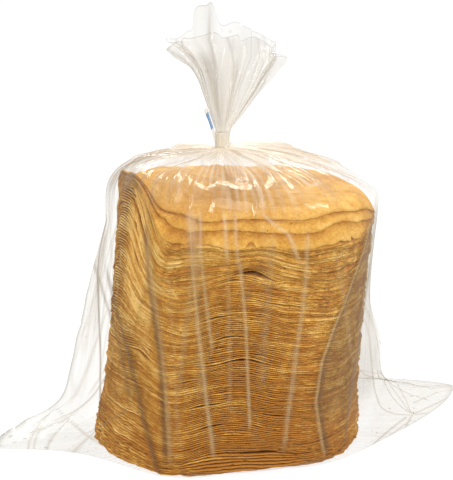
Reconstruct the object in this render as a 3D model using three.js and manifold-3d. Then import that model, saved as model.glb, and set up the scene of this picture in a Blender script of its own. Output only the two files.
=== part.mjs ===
// A stack of corn tortillas in a clear bag that is gathered to a neck and closed with tape.
// Millimetres, +Z up. The flat width of the bag lies along X, with its longer corner at +X,
// and the stack stands on z = 0. Angles are degrees from +X, turning towards +Y.
import * as THREE from 'three';
import { mergeVertices } from 'three/addons/utils/BufferGeometryUtils.js';
import Module from 'manifold-3d';

// Driving dimensions of the stack
const stackHeight = 152.5;      // about 126 tortillas of 1.2 mm
const tortillaRadius = 76.8;    // a 6 inch tortilla
const baseSpread = 6.0;         // how much wider the lowest tortillas are pressed
const baseSpreadHeight = 30.0;  // height over which that spread dies away
const leanPerHeight = 0.083;    // sideways lean of the stack for each millimetre of height
const leanAngle = -21;
const stackFoot = { x: -12.63, y: -0.5 };  // centre of the stack's foot, which centres the whole bag

// Driving dimensions of the bag
const filmOffset = 2.0;         // the film lies this far outside the tortillas' mean edge
const leftCorner = {
  angle: 173.4, foot: 34, footHeight: 19.6, footPower: 2.7,
  sail: 22, sailHeight: 150, spread: 6.7, power: 1,
};
const rightCorner = {
  angle: 5.6, foot: 83.2, footHeight: 11, footPower: 0.78,
  sail: 19.7, sailHeight: 45.5, spread: 25, power: 1.3,
};
const shoulderHeight = stackHeight - 4.5;  // where the side of the bag turns over into its top
const topHeight = stackHeight + 24.5;      // the nearly level top of the bag
const neck = { x: -2.25, y: 0.84, radius: 3.6, bottom: 178.0, top: 188.0 };  // measured from the foot
const viewAngle = -20.6;        // direction of the mouth's long axis
const mouthHeight = 55;         // from the neck to the rim
const filmFold = 1.3;           // thickness of the crumpled double film at the mouth
const mouthPleats = 9;
const topPleats = 15;

// Driving dimensions of the tape
const tapeGap = 0.35;
const tapeThickness = 0.7;
const tapeBand = { bottom: 178.8, top: 187.6 };
const tapeTail = { width: 9.0, rise: 20.5, lean: 6.0 };

// How finely the bag is divided
const evenDirections = 86;
const plyRidges = 16;           // coarse ridges that stand for the edges of many tortillas
const plyRelief = 0.9;          // how far a ridge stands out and a groove goes in

const radians = (degrees) => degrees * Math.PI / 180;
const between = (a, b, t) => a + (b - a) * t;
const turnBetween = (a, b) => ((a - b + 540) % 360 + 360) % 360 - 180;

// 1 at the centre angle, falling smoothly to 0 on both sides of it.
function bump(angle, centre, width, power = 2) {
  return Math.exp(-(Math.abs(turnBetween(angle, centre) / width) ** power));
}

// A smooth step from 0 to 1.
function smooth(t) {
  const share = Math.min(1, Math.max(0, t));
  return share * share * (3 - 2 * share);
}

// A value that runs in straight steps through pairs of place and value.
function ramp(t, ...stops) {
  if (t <= stops[0]) return stops[1];
  for (let i = 2; i < stops.length; i += 2) {
    if (t <= stops[i]) {
      const share = (t - stops[i - 2]) / (stops[i] - stops[i - 2]);
      return between(stops[i - 1], stops[i + 1], share);
    }
  }
  return stops[stops.length - 1];
}

// Height of a tortilla's rim over its own level: crests and troughs nest from ply to ply.
// t is the level in the stack, from 0 at the foot to 1 at the top.
function rimWave(angle, t) {
  const middleCrest = ramp(t, 0, 5, 0.85, 5, 0.97, 2, 1, 1) * bump(angle, 250, 17)
    + ramp(t, 0, 3, 0.12, 0) * bump(angle, 270, 22);
  const leftTrough = ramp(t, 0, 0, 0.1, 4, 0.8, 4, 0.9, 0) * bump(angle, 222, 12);
  const leftRib = ramp(t, 0, 0, 0.1, 3, 0.5, 2, 0.8, 0) * bump(angle, 201, 11);
  const raisedCentre = ramp(t, 0.5, 178, 0.8, 180, 0.93, 184, 1, 188);
  const raisedWidth = ramp(t, 0.5, 14, 0.8, 17, 0.93, 20, 1, 25);
  const raisedEdge = ramp(t, 0, 0, 0.08, 4, 0.3, 0, 0.45, 0, 0.6, 10, 0.75, 19, 0.85, 25, 0.96, 27, 1, 18)
    * bump(angle, raisedCentre, raisedWidth, 3);
  const rightTrough = ramp(t, 0, 0, 0.2, 5.5, 0.8, 7, 0.9, 9, 1, 4) * bump(angle, 297, between(22, 26, t));
  const rightSlope = 9 * t * bump(angle, 335, 22);
  const rear = ramp(t, 0, 0, 0.2, 4, 1, 0) * (bump(angle, 41, 18) - bump(angle, 83, 17))
    - ramp(t, 0, 0, 0.2, 3, 1, 7) * bump(angle, 2, 18)
    + ramp(t, 0, 0, 0.2, 4, 0.9, 7, 1, 4) * bump(angle, 119, 20)
    - ramp(t, 0, 0, 0.2, 3, 0.8, 3, 1, 0) * bump(angle, 150, 12);
  return middleCrest - leftTrough + leftRib + raisedEdge - rightTrough - rightSlope + rear;
}

// How far a bottom corner of the flat bag, and the fin of slack film over it, stands off.
function cornerReach(corner, angle, z) {
  const foot = corner.foot * Math.exp(-((z / corner.footHeight) ** corner.footPower));
  const sail = corner.sail * (corner === leftCorner
    ? Math.max(0, 1 - z / corner.sailHeight)
    : Math.exp(-(((z - corner.sailHeight) / 34.5) ** 2)));
  return (foot + sail) * bump(angle, corner.angle, corner.spread, corner.power);
}

// Radius of the film around the leaning stack at a height.
function filmRadius(angle, z) {
  const spread = baseSpread + 3.6 * bump(angle, 233, 22) + 1.05 * bump(angle, 97, 45);
  const stack = tortillaRadius + spread * Math.exp(-z / baseSpreadHeight);
  const drawnIn = 1 - 0.5 * smooth((z - 118) / 40);
  const slack = 6 * drawnIn * bump(angle, leftCorner.angle, 30) + 0.5 * bump(angle, rightCorner.angle, 30);
  return stack + filmOffset + slack + cornerReach(leftCorner, angle, z) + cornerReach(rightCorner, angle, z);
}

function fromStackAxis(angle, radius, z) {
  const lean = leanPerHeight * z;
  return [
    lean * Math.cos(radians(leanAngle)) + radius * Math.cos(radians(angle)),
    lean * Math.sin(radians(leanAngle)) + radius * Math.sin(radians(angle)),
    z,
  ];
}

// Side of the bag, t from 0 on the ground to 1 at the shoulder. The front of the foot is
// lifted and tucked under, and the film shows the waves of the stack through its height.
function sidePoint(angle, t, relief) {
  const shoulder = shoulderHeight - 12 * bump(angle, 165, 22) - bump(angle, 250, 40)
    + 2.5 * bump(angle, 340, 45);
  const follow = ramp(t, 0, 0, 0.03, 1, 0.7, 1, 1, 0);
  const z = Math.max(0, shoulder * t + follow * rimWave(angle, t));
  const tuck = (1.5 + 17 * bump(angle, 261, 23)) * Math.max(0, 1 - t / 0.037) * (1 - bump(angle, 5.5, 40))
    * (1 - bump(angle, 173.4, 20));
  return fromStackAxis(angle, filmRadius(angle, z) - tuck + relief, z);
}

// Top of the bag, s from 0 at the shoulder to 1 at the neck: a superellipse that is squarer
// over the raised left of the stack and straighter at the right, with small pleats.
function topPoint(angle, s) {
  const edge = sidePoint(angle, 1, 0);
  const power = 2.3 + 2.4 * bump(angle, 190, 30) + 0.4 * bump(angle, 250, 60) - 0.9 * bump(angle, 342, 48);
  const out = Math.cos(Math.PI / 2 * s) ** (2 / power);
  const up = Math.sin(Math.PI / 2 * s) ** (2 / power);
  const level = topHeight - 3 * bump(angle, 70, 60);
  const foot = [
    neck.x + neck.radius * Math.cos(radians(angle)),
    neck.y + neck.radius * Math.sin(radians(angle)),
  ];
  const reach = Math.hypot(edge[0] - foot[0], edge[1] - foot[1]) * out;
  const pleat = 1.1 * Math.sin(Math.PI * s) * Math.cos(radians(topPleats * angle));
  return [
    between(foot[0], edge[0], out),
    between(foot[1], edge[1], out),
    between(edge[2], level, up) + (neck.bottom - level) * Math.exp(-reach / 9) + pleat,
  ];
}

// Mouth above the neck, u from 0 at the neck to 1 at the rim: an uneven pleated trumpet,
// wider to the right, with a pulled-out left tip and one corner that stands up as a flap.
function mouthPoint(angle, u, inset) {
  const turned = angle - viewAngle;
  const rim = mouthHeight + 5 * bump(turned, 270, 50) + 7 * bump(turned, 90, 50)
    - 5 * bump(turned, 180, 30) - 11 * bump(turned, 0, 35);
  const flap = bump(turned, 113, 14, 4);
  const rise = rim * u + 13 * flap * u ** 5;
  const left = neck.radius + 0.31 * rise + 9 * (Math.max(0, rise - 30) / 20) ** 2;
  const right = neck.radius + 0.72 * rise;
  const deep = Math.min(24, 0.36 * (left + right));
  const across = Math.cos(radians(turned)) > 0 ? Math.min(right, 34) : Math.min(left, 32);
  const pleat = 1 + (0.04 + 0.07 * u) * Math.cos(radians(mouthPleats * turned + 40)) - 0.2 * flap * u ** 5;
  const x = across * Math.cos(radians(turned)) * pleat;
  const y = deep * Math.sin(radians(turned)) * pleat;
  const keep = 1 - inset / Math.hypot(x, y);
  const c = Math.cos(radians(viewAngle));
  const s = Math.sin(radians(viewAngle));
  return [neck.x + keep * (x * c - y * s), neck.y + keep * (x * s + y * c), neck.top + rise];
}

// Directions round the bag: even steps, with closer ones at the tip of each corner.
function directions() {
  const angles = Array.from({ length: evenDirections }, (_, i) => 360 * i / evenDirections);
  const tips = [leftCorner.angle, rightCorner.angle].flatMap((tip) => [tip - 1.4, tip, tip + 1.4]);
  const clear = angles.filter((angle) => tips.every((tip) => Math.abs(turnBetween(angle, tip)) > 1));
  return [...clear, ...tips].sort((a, b) => a - b);
}

// Closed mesh from a stack of rings with equal numbers of points, with a pole at each end.
function ringSolid(rings, firstPole, lastPole) {
  const count = rings[0].length;
  const points = [firstPole, ...rings.flat(), lastPole];
  const faces = [];
  for (let i = 0; i < count; i++) {
    const j = (i + 1) % count;
    faces.push([0, 1 + j, 1 + i]);
    for (let k = 0; k + 1 < rings.length; k++) {
      const a = 1 + k * count;
      const b = a + count;
      faces.push([a + i, a + j, b + j], [a + i, b + j, b + i]);
    }
    const last = 1 + (rings.length - 1) * count;
    faces.push([last + i, last + j, points.length - 1]);
  }
  const geometry = new THREE.BufferGeometry();
  geometry.setAttribute('position', new THREE.Float32BufferAttribute(points.flat(), 3));
  geometry.setIndex(faces.flat());
  return geometry;
}

// The filled bag: flat underside, wavy plied side, pleated top, neck, and the mouth's
// outer wall up to the rim and inner wall down again, so that the mouth stays open.
function filledBag() {
  const around = directions();
  const rings = [];
  const lowLevels = [0, 0.007, 0.02, 0.04, 0.065];
  for (const t of lowLevels) rings.push(around.map((angle) => sidePoint(angle, t, 0)));
  const plies = 2 * plyRidges;
  for (let k = 0; k <= plies; k++) {
    const t = between(0.09, 1, k / plies);
    const relief = t < 0.9 ? plyRelief * (k % 2 === 0 ? 1 : -1) : 0;
    rings.push(around.map((angle) => sidePoint(angle, t, relief)));
  }
  const topLevels = [0.1, 0.22, 0.36, 0.52, 0.7, 0.85, 1];
  for (const s of topLevels) rings.push(around.map((angle) => topPoint(angle, s)));
  const mouth = [0, 0.1, 0.25, 0.42, 0.6, 0.78, 0.9, 1];
  for (const u of mouth) rings.push(around.map((angle) => mouthPoint(angle, u, 0)));
  for (const u of mouth.slice(2).reverse()) rings.push(around.map((angle) => mouthPoint(angle, u, filmFold)));
  return ringSolid(rings, [0, 0, 0], [neck.x, neck.y, neck.top + 6]);
}

// A closed geometry as a solid for joining: positions only, shared corners merged.
function toSolid(wasm, geometry) {
  const bare = geometry.clone();
  bare.deleteAttribute('normal');
  bare.deleteAttribute('uv');
  const merged = mergeVertices(bare, 1e-4);
  return new wasm.Manifold(new wasm.Mesh({
    numProp: 3,
    vertProperties: new Float32Array(merged.attributes.position.array),
    triVerts: new Uint32Array(merged.index.array),
  }));
}

function toGeometry(solid) {
  const { vertProperties, triVerts } = solid.getMesh();
  const geometry = new THREE.BufferGeometry();
  geometry.setAttribute('position', new THREE.BufferAttribute(new Float32Array(vertProperties), 3));
  geometry.setIndex(new THREE.BufferAttribute(new Uint32Array(triVerts), 1));
  return geometry;
}

// The closure tape: a band round the neck, its two ends stuck together as a tail that
// runs up along the left of the mouth.
async function neckTape() {
  const wasm = await Module();
  wasm.setup();
  const inner = neck.radius + tapeGap;
  const outer = inner + tapeThickness;
  const { bottom, top } = tapeBand;
  const profile = [[inner, bottom], [outer, bottom], [outer, top], [inner, top], [inner, bottom]];
  const band = new THREE.LatheGeometry(profile.map(([r, z]) => new THREE.Vector2(r, z)), 28);
  band.rotateX(Math.PI / 2);

  const tail = new THREE.Shape();
  const start = -inner - 0.1;
  const foot = bottom + 2;
  tail.moveTo(start, foot);
  tail.quadraticCurveTo(start - 1.2, foot + 8, start - tapeTail.lean, foot + tapeTail.rise);
  tail.lineTo(start - tapeTail.lean - tapeThickness, foot + tapeTail.rise);
  tail.quadraticCurveTo(start - 1.2 - tapeThickness, foot + 8, start - tapeThickness, foot);
  const strip = new THREE.ExtrudeGeometry(tail, {
    depth: tapeTail.width,
    bevelEnabled: false,
    curveSegments: 10,
  });
  strip.translate(0, 0, -tapeTail.width / 2);
  strip.rotateX(Math.PI / 2);
  strip.rotateZ(radians(viewAngle));
  return toGeometry(toSolid(wasm, band).add(toSolid(wasm, strip)));
}

function piece(name, geometry, colour, roughness, x, y) {
  geometry.computeVertexNormals();
  const material = new THREE.MeshStandardMaterial({ color: colour, roughness, metalness: 0 });
  const mesh = new THREE.Mesh(geometry, material);
  mesh.name = name;
  mesh.position.set(x, y, 0);
  return mesh;
}

const bagOfTortillas = new THREE.Group();
bagOfTortillas.add(
  piece('filled_bag', filledBag(), '#c9a063', 0.35, stackFoot.x, stackFoot.y),
  piece('neck_tape', await neckTape(), '#cfd8e0', 0.3, stackFoot.x + neck.x, stackFoot.y + neck.y),
);

export default bagOfTortillas;
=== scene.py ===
# A tall leaning stack of corn tortillas in a clear bag, gathered to a taped neck.
# Shapes are worked out in millimetres in the part's frame and written to the meshes in metres.
# Angles are degrees from +X, turning towards +Y, and the camera stands at about 249 degrees.
import functools
import math

import bpy
import numpy as np
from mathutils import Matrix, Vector


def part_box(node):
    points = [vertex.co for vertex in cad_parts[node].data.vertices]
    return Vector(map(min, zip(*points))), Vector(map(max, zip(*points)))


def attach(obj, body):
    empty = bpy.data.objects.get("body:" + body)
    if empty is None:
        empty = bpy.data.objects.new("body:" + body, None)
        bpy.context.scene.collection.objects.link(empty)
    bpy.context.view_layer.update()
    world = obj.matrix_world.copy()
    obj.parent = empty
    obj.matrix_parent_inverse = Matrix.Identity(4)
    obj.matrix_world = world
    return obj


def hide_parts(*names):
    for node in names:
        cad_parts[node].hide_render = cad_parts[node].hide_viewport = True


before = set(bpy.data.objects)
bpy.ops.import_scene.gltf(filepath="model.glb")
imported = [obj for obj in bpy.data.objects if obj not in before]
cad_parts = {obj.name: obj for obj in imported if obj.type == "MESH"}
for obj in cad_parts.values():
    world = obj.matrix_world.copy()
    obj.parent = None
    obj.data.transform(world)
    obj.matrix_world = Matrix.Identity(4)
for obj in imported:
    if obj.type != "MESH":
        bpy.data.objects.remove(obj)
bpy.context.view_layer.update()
TAPE_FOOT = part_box("neck_tape")[0].z

bl_info = {
    "name": "Bag of corn tortillas",
    "version": (1, 0, 0),
    "blender": (4, 5, 0),
    "location": "View3D > Sidebar > Tortillas",
    "description": "Builds a stack of corn tortillas in a clear gathered bag",
    "category": "Add Mesh",
}

METRE = 0.001  # one millimetre

# The bag's and the stack's common shape, as in the solids
STACK_FOOT = np.array([-12.63, -0.5])
LEAN = 0.083 * np.array([math.cos(math.radians(-21)), math.sin(math.radians(-21))])
BASE_SPREAD, BASE_SPREAD_HEIGHT = 6.0, 30.0
FILM_OFFSET = 2.0
LEFT_CORNER = {"angle": 173.4, "foot": 34, "foot_height": 19.6, "foot_power": 2.7, "spread": 6.7, "power": 1}
RIGHT_CORNER = {"angle": 5.6, "foot": 83.2, "foot_height": 11, "foot_power": 0.78, "spread": 25, "power": 1.3}
LEFT_SEAM, RIGHT_SEAM = 173.4, 5.5
NECK = {"radius": 3.6, "bottom": 178.0, "seam": 183.0, "top": 188.0}
NECK_CENTRE = STACK_FOOT + [-2.25, 0.84]
VIEW_ANGLE = -20.6
MOUTH_HEIGHT = 55.0
GROUND = 0.05  # lowest height of the film
CRUMB_GROUND = 0.12  # lowest height of a tortilla
CORNERS_START = 86  # distance from the axis of the stack where the flat corners begin
STACK_COLUMNS = 384  # steps round a tortilla
TOP_SHEETS = 3  # tortillas whose faces show from above
BEND = 17  # width of the band over which a top sheet bends down to its rim


def srgb(text):
    """The linear colour of an sRGB hex value."""
    part = np.array([int(text[i:i + 2], 16) for i in (1, 3, 5)]) / 255
    return tuple(np.where(part <= 0.04045, part / 12.92, ((part + 0.055) / 1.055) ** 2.4))


# Curves that every piece shares

def turn_between(a, b):
    return (a - b + 540.0) % 360.0 - 180.0


def arc_between(angle, centre, radius):
    """Distance round a circle of the radius from the centre angle."""
    return np.radians(turn_between(angle, centre)) * radius


def bump(angle, centre, width, power=2.0):
    """1 at the centre angle, falling as e to the minus (distance / width) to the power."""
    return np.exp(-np.abs(turn_between(angle, centre) / width) ** power)


def ramp(t, *stops):
    """Straight steps through pairs of place and value."""
    return np.interp(t, stops[0::2], stops[1::2])


def smooth(t):
    t = np.clip(t, 0, 1)
    return t * t * (3 - 2 * t)


def drift(angle, level, rng, harmonics, level_length, count=14):
    """A sum of cosines round the circle, each with a whole number of waves and a phase that
    turns slowly from level to level, so neighbouring levels look alike. Its spread is 1."""
    total = 0
    for _ in range(count):
        waves = rng.integers(harmonics[0], harmonics[1] + 1)
        turn = rng.standard_normal() / level_length
        phase = rng.uniform(0, 2 * np.pi)
        total = total + np.cos(np.radians(waves * angle) + 2 * np.pi * turn * level + phase)
    return total * math.sqrt(2 / count)


def rim_wave(angle, t):
    """Height of a tortilla's rim over its own level, t from 0 at the foot to 1 at the top: a
    sum of crests and troughs round the stack that grow and fade with height."""
    middle = (ramp(t, 0, 1, 0.06, 5, 0.85, 5, 0.97, 2, 1, 1) * bump(angle, 250, 17)
              + ramp(t, 0, 0, 0.05, 3, 0.12, 0) * bump(angle, 270, 22))
    left_trough = ramp(t, 0, 0, 0.1, 4, 0.8, 4, 0.9, 0) * bump(angle, 222, 12)
    left_rib = ramp(t, 0, 0, 0.1, 3, 0.5, 2, 0.8, 0) * bump(angle, 201, 11)
    raised_centre = ramp(t, 0.5, 178, 0.8, 180, 0.93, 184, 1, 188)
    raised_width = ramp(t, 0.5, 14, 0.8, 17, 0.93, 20, 1, 25)
    raised = ramp(t, 0, 0, 0.08, 4, 0.3, 0, 0.45, 0, 0.6, 10, 0.75, 19, 0.85, 25, 0.96, 27, 1, 18)
    raised = raised * bump(angle, raised_centre, raised_width, 3)
    right_trough = ramp(t, 0, 0, 0.2, 5.5, 0.8, 7, 0.9, 9, 1, 4) * bump(angle, 297, 22 + 4 * t)
    right_slope = 9 * t * bump(angle, 335, 22)
    rear = (ramp(t, 0, 0, 0.2, 4, 1, 0) * (bump(angle, 41, 18) - bump(angle, 83, 17))
            - ramp(t, 0, 0, 0.2, 3, 1, 7) * bump(angle, 2, 18)
            + ramp(t, 0, 0, 0.2, 4, 0.9, 7, 1, 4) * bump(angle, 119, 20)
            - ramp(t, 0, 0, 0.2, 3, 0.8, 3, 1, 0) * bump(angle, 150, 12))
    return middle - left_trough + left_rib + raised - right_trough - right_slope + rear


def corner_reach(corner, sail, angle, z):
    """How far a flat bottom corner, and the slack fin over it, stands off the round bag."""
    foot = corner["foot"] * np.exp(-(z / corner["foot_height"]) ** corner["foot_power"])
    return (foot + sail) * bump(angle, corner["angle"], corner["spread"], corner["power"])


def foot_spread(angle, z):
    """How much wider the low tortillas are pressed, most at the front left."""
    pressed = BASE_SPREAD + 3.6 * bump(angle, 233, 22) + 1.05 * bump(angle, 97, 45)
    return pressed * np.exp(-z / BASE_SPREAD_HEIGHT)


def foot_tuck(angle, z):
    """How far the lowest few millimetres draw in under the rest, most at the front."""
    drawn = (1.5 + 17 * bump(angle, 261, 23)) * np.maximum(0, 1 - z / 5.5)
    return drawn * (1 - bump(angle, RIGHT_SEAM, 40)) * (1 - bump(angle, LEFT_SEAM, 20))


def film_radius(angle, z, tortilla_radius):
    """Radius of the bag round the leaning stack: the stack's own radius, the slack at its two
    seams, and the two corners, which fade with height."""
    stack = tortilla_radius + foot_spread(angle, z)
    drawn_in = 1 - 0.5 * smooth((z - 118) / 40)
    slack = (6 * drawn_in * bump(angle, LEFT_CORNER["angle"], 30)
             + 0.5 * bump(angle, RIGHT_CORNER["angle"], 30))
    left_fin = 22 * np.maximum(0, 1 - z / 150)
    right_fin = 19.7 * np.exp(-((z - 45.5) / 34.5) ** 2)
    return (stack + FILM_OFFSET + slack + corner_reach(LEFT_CORNER, left_fin, angle, z)
            + corner_reach(RIGHT_CORNER, right_fin, angle, z))


def round_axis(centre, angle, radius, z):
    """A point at an angle and radius round an upright axis, at a height."""
    x = centre[0] + radius * np.cos(np.radians(angle))
    y = centre[1] + radius * np.sin(np.radians(angle))
    return np.stack(np.broadcast_arrays(x, y, z), -1)


def from_stack_axis(angle, radius, z):
    """A point at an angle and radius round the leaning axis of the stack, in the part's frame."""
    return round_axis((STACK_FOOT[0] + LEAN[0] * z, STACK_FOOT[1] + LEAN[1] * z), angle, radius, z)


def turned_to_view(x, y, z):
    """A point given across and away from the photo's side, both from the neck's axis."""
    c, s = math.cos(math.radians(VIEW_ANGLE)), math.sin(math.radians(VIEW_ANGLE))
    x, y = NECK_CENTRE[0] + x * c - y * s, NECK_CENTRE[1] + x * s + y * c
    return np.stack(np.broadcast_arrays(x, y, z), -1)


# Meshes

def ring_faces(rows, columns, poles=(True, True)):
    """Quads between neighbouring rings of a tube that closes on itself, and the triangles from
    its first and last rings to a pole each. Points run ring by ring, the poles come last."""
    i = np.arange(columns)
    j = (i + 1) % columns
    base = np.arange(rows - 1)[:, None] * columns
    quads = np.stack([base + i, base + j, base + columns + j, base + columns + i], -1).reshape(-1, 4)
    triangles = []
    pole = rows * columns
    if poles[0]:
        triangles.append(np.stack([np.full(columns, pole), j, i], -1))
        pole += 1
    if poles[1]:
        last = (rows - 1) * columns
        triangles.append(np.stack([last + i, last + j, np.full(columns, pole)], -1))
    return quads, np.concatenate(triangles) if triangles else np.zeros((0, 3), int)


def new_piece(name, points, quads, triangles, material, values=None):
    """A smooth mesh object at the origin from points in millimetres and its faces. values maps
    the name of an attribute to one number for each point."""
    mesh = bpy.data.meshes.new(name)
    mesh.vertices.add(len(points))
    mesh.vertices.foreach_set("co", (np.asarray(points) * METRE).astype(np.float32).ravel())
    corners = np.concatenate([quads.ravel(), triangles.ravel()]).astype(np.int32)
    sizes = np.concatenate([np.full(len(quads), 4), np.full(len(triangles), 3)])
    mesh.loops.add(len(corners))
    mesh.loops.foreach_set("vertex_index", corners)
    mesh.polygons.add(len(sizes))
    starts = np.concatenate([[0], np.cumsum(sizes)[:-1]]).astype(np.int32)
    mesh.polygons.foreach_set("loop_start", starts)
    mesh.polygons.foreach_set("use_smooth", np.ones(len(sizes), bool))
    for key, value in (values or {}).items():
        layer = mesh.attributes.new(key, "FLOAT", "POINT")
        layer.data.foreach_set("value", np.asarray(value, np.float32).ravel())
    mesh.update(calc_edges=True)
    mesh.validate()
    mesh.materials.append(material)
    piece = bpy.data.objects.new(name, mesh)
    bpy.context.scene.collection.objects.link(piece)
    return piece


def settle(piece, slot, *nodes):
    """The piece rides on the part's one body and stands for nodes, which are hidden; slot is not used."""
    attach(piece, "root")
    if nodes:
        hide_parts(*nodes)


def surface_normals(points):
    """Unit normals of a grid of points that closes on itself round its columns."""
    along = np.gradient(points, axis=0)
    around = np.roll(points, -1, 1) - np.roll(points, 1, 1)
    normal = np.cross(around, along)
    return normal / np.maximum(np.linalg.norm(normal, axis=-1, keepdims=True), 1e-9)


# Materials

def add_node(tree, kind, settings=None, **links):
    """A node with its settings, and its inputs linked or set by name; _n stands for input n."""
    node = tree.nodes.new("ShaderNode" + kind)
    for key, value in (settings or {}).items():
        setattr(node, key, value)
    for key, value in links.items():
        socket = node.inputs[int(key[1:])] if key[1:].isdigit() and key[0] == "_" \
            else node.inputs[key.replace("_", " ")]
        if isinstance(value, bpy.types.NodeSocket):
            tree.links.new(value, socket)
        elif isinstance(value, bpy.types.Node):
            tree.links.new(value.outputs[0], socket)
        else:
            socket.default_value = value
    return node


def empty_tree(owner):
    """The cleared node tree of a material or world, as a function that adds nodes to it."""
    owner.use_nodes = True
    owner.node_tree.nodes.clear()
    return functools.partial(add_node, owner.node_tree)


def new_material(name):
    material = bpy.data.materials.new(name)
    return material, empty_tree(material)


# Settings of nodes that recur
TIMES = {"operation": "MULTIPLY"}
TIMES_PLUS = {"operation": "MULTIPLY_ADD"}
COLOURS = {"data_type": "RGBA"}
WALL_CLEARNESS = (0.993, 0.992, 0.987, 1)  # share of the light that one wall of film lets through


def rgba(colour):
    return (*colour[:3], 1.0)


def tortilla_crumb(settings):
    """Baked nixtamal corn dough: matt, dry and slightly grainy. The eye sees golden yellow with
    paler floury patches, warmer toasted ones and a scatter of small dark flecks of hull."""
    material, add = new_material("baked_corn_dough")
    place = add("TexCoord").outputs["Object"]
    # the tone value mixes tone that differs at random with painted light and shade, and the gap value is
    # painted shade between the rims
    tone = add("Attribute", {"attribute_name": "tone"}).outputs["Fac"]
    gap = add("Attribute", {"attribute_name": "gap"}).outputs["Fac"]
    # patches of about 8 mm and grain of about 1.2 mm
    patch = add("TexNoise", Vector=place, Scale=120.0, Detail=4.0, Roughness=0.6)
    grain = add("TexNoise", Vector=place, Scale=800.0, Detail=3.0, Roughness=0.7)
    blend = add("Math", TIMES, _0=patch, _1=0.5)
    blend = add("Math", TIMES_PLUS, _0=tone, _1=0.11, _2=blend)
    blend = add("Math", TIMES_PLUS, _0=grain, _1=0.5, _2=blend)
    ramp_node = add("ValToRGB", Fac=blend)
    stops = ramp_node.color_ramp.elements
    stops[0].position, stops[0].color = 0.28, rgba(settings.toasted_colour)
    stops[1].position, stops[1].color = 0.78, rgba(settings.floury_colour)
    stops.new(0.5).color = rgba(settings.crumb_colour)
    # flecks under 1 mm, about one in 6 mm
    cells = add("TexVoronoi", Vector=place, Scale=170.0)
    fleck = add("MapRange", Value=cells.outputs["Distance"], From_Min=0.045, From_Max=0.085, To_Min=1.0,
                To_Max=0.0)
    pick = add("TexWhiteNoise", Vector=cells.outputs["Position"])
    pick = add("Math", {"operation": "GREATER_THAN"}, _0=pick, _1=0.55)
    fleck = add("Math", TIMES, _0=fleck, _1=pick)
    colour = add("Mix", COLOURS, _0=fleck, _6=ramp_node, _7=rgba(srgb("#3c2612")))
    # painted shade: the inner part of each rim, seen only in the gaps, is painted darker and browner in
    # places, standing in for the shade between the rims
    depth = add("Math", TIMES_PLUS, _0=patch, _1=2.6, _2=-0.45)
    gap = add("Math", {"operation": "MULTIPLY", "use_clamp": True}, _0=gap, _1=depth)
    colour = add("Mix", COLOURS, _0=gap, _6=colour.outputs[2], _7=rgba(settings.gap_shade_colour))
    bump_node = add("Bump", Strength=0.8, Distance=0.0006, Height=grain)
    blister = add("TexNoise", Vector=place, Scale=260.0, Detail=3.0)
    bump_node = add("Bump", Strength=0.35, Distance=0.0016, Height=blister, Normal=bump_node)
    shader = add("BsdfPrincipled", Base_Color=colour.outputs[2], Roughness=0.82, IOR=1.4, Normal=bump_node)
    add("OutputMaterial", Surface=shader)
    return material


def clear_film(settings):
    """Blown low-density polyethylene, 30 microns thick: almost clear, glossy, grey where it is
    seen edge on or lies in several folds, and milky beige where many pleats meet at the neck.
    The grey of the folds is partly painted shade, and some of the milk is painted highlight.
    Its gloss rises with the fourth power of the grazing angle, alike on both faces."""
    material, add = new_material("clear_polyethylene_film")
    place = add("TexCoord").outputs["Object"]
    veil = add("Attribute", {"attribute_name": "veil"}).outputs["Fac"]
    fold = add("Attribute", {"attribute_name": "fold"}).outputs["Fac"]
    crinkle = add("TexNoise", Vector=place, Scale=260.0, Detail=2.0, Roughness=0.5)
    bump_node = add("Bump", Strength=0.2, Distance=0.0005, Height=crinkle)
    # the fold value greys the light let through, partly for folded film and partly as painted shade; the veil
    # value mixes in milk, partly real haze and partly painted highlights
    tint = add("Mix", COLOURS, _0=fold, _6=WALL_CLEARNESS, _7=rgba(settings.fold_and_shade_colour))
    clear = add("BsdfTransparent", Color=tint.outputs[2])
    # painted light: low down the haze takes a warm colour that stands for the light of the dough close behind
    # it, scattered through the film
    high = add("SeparateXYZ", Vector=place).outputs["Z"]
    high = add("MapRange", Value=high, From_Min=0.13, From_Max=0.17)
    haze = add("Mix", COLOURS, _0=high, _6=rgba(settings.dough_glow_haze_colour), _7=rgba(settings.milk_colour))
    milk_back = add("BsdfTranslucent", Color=haze.outputs[2])
    milk_front = add("BsdfDiffuse", Color=haze.outputs[2])
    milk = add("MixShader", _0=0.3, _1=milk_front, _2=milk_back)
    body = add("MixShader", _0=veil, _1=clear, _2=milk)
    edge = add("LayerWeight", Blend=0.5, Normal=bump_node).outputs["Facing"]
    edge = add("Math", {"operation": "POWER"}, _0=edge, _1=4.0)
    edge = add("Math", TIMES_PLUS, _0=edge, _1=0.28, _2=0.022)
    edge = add("Math", {"operation": "MULTIPLY_ADD", "use_clamp": True}, _0=fold, _1=0.08, _2=edge)
    shine = add("BsdfGlossy", Color=rgba(settings.gloss_colour), Roughness=settings.gloss_roughness,
                Normal=bump_node)
    shader = add("MixShader", _0=edge, _1=body, _2=shine)
    add("OutputMaterial", Surface=shader)
    return material


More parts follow.
